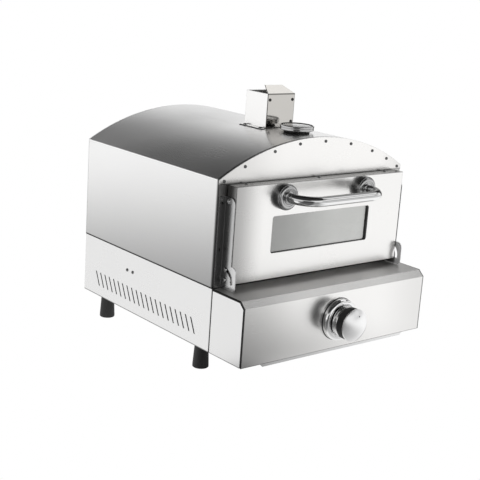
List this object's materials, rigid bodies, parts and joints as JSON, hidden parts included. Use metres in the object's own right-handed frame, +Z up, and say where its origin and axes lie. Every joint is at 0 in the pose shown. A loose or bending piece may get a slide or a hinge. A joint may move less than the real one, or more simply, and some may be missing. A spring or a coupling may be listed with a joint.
{
  "type": "countertop pizza oven",
  "caption": "Stainless gas pizza oven for a countertop: arched body on a vented base, drop-down window door with bar handle, gas knob, square flue and dial thermometer.",
  "frame": {"origin": "on the ground, under the middle of the bounding box", "axes": "+X to the right of a person facing the door, +Y from the door towards the back, +Z up"},
  "size_m": [0.4024, 0.528, 0.446],
  "materials": {
    "brushed_steel": "satin",
    "polished_steel": "polished",
    "satin_steel": "satin",
    "fastener_steel": "satin",
    "dark_satin": "satin",
    "black_rubber": "matte",
    "lead_rubber": "matte",
    "black_plastic": "matte",
    "dial_white": "matte",
    "pointer_red": "satin",
    "clear_glass": "clear",
    "window_glass": "clear",
    "wool": "fibrous",
    "stone": "rough",
    "ceramic_white": "glazed",
    "brass": "machined",
    "aluminium_tube": "drawn"
  },
  "bodies": {
    "oven": {"base_rear": "brushed_steel", "base_side_left": "brushed_steel", "base_side_right": "brushed_steel", "bottom_pan": "brushed_steel", "bracket_screws": "fastener_steel", "burner": "brushed_steel", "chimney": "polished_steel", "chimney_front": "polished_steel", "chimney_screws": "fastener_steel", "control_cover": "brushed_steel", "control_side_left": "brushed_steel", "control_side_right": "brushed_steel", "facia": "brushed_steel", "flue_duct": "brushed_steel", "foot_bolts": "brushed_steel", "foot_front_left": "black_rubber", "foot_front_right": "black_rubber", "foot_rear_left": "black_rubber", "foot_rear_right": "black_rubber", "front_frame": "brushed_steel", "gas_inlet": "brass", "gas_pipe": "aluminium_tube", "gas_valve": "brass", "hinge_bracket_left": "brushed_steel", "hinge_bracket_right": "brushed_steel", "ignition_lead": "lead_rubber", "insulation": "wool", "knob_bezel": "polished_steel", "knob_spring": "brushed_steel", "liner": "brushed_steel", "mixer_tube": "brushed_steel", "outer_shell": "brushed_steel", "panel_screws": "fastener_steel", "pizza_stone": "stone", "rear_panel": "brushed_steel", "side_screws": "fastener_steel", "spark_electrode": "ceramic_white", "stone_rails": "brushed_steel", "thermometer_case": "polished_steel", "thermometer_dial": "dial_white", "thermometer_lens": "clear_glass", "thermometer_nut": "polished_steel", "thermometer_probe": "brushed_steel"},
    "door": {"door_shell": "brushed_steel", "door_inner": "brushed_steel", "window_glass": "window_glass", "window_gasket": "black_rubber", "glass_clamp": "brushed_steel", "door_screws": "fastener_steel", "handle_bar": "polished_steel", "handle_rosette_left": "dark_satin", "handle_rosette_right": "dark_satin", "handle_bolts": "fastener_steel", "pivot_pins": "fastener_steel", "guide_pins": "fastener_steel"},
    "valve_plug": {"valve_plug": "brass"},
    "knob": {"knob_grip": "black_plastic", "knob_cap": "satin_steel", "valve_stem": "brushed_steel"},
    "thermometer_pointer": {"thermometer_pointer": "pointer_red"}
  },
  "joints": [
    {"name": "door_hinge", "type": "hinge", "parent": "oven", "child": "door", "pos_m": [0, -0.145, 0.1635], "axis": [1, 0, 0], "range_deg": [0, 88]},
    {"name": "knob_turn", "type": "hinge", "parent": "oven", "child": "valve_plug", "pos_m": [0, -0.186, 0.0923], "axis": [0, -1, 0], "range_deg": [0, 210]},
    {"name": "knob_push", "type": "slide", "parent": "valve_plug", "child": "knob", "axis": [0, 1, 0], "range_m": [0, 0.004], "stiffness_N_per_m": 900, "springref_m": -0.006, "deforming": ["knob_spring"]},
    {"name": "pointer_turn", "type": "hinge", "parent": "oven", "child": "thermometer_pointer", "pos_m": [0, -0.08, 0.3835], "axis": [0, 0, -1], "range_deg": [0, 270]}
  ]
}
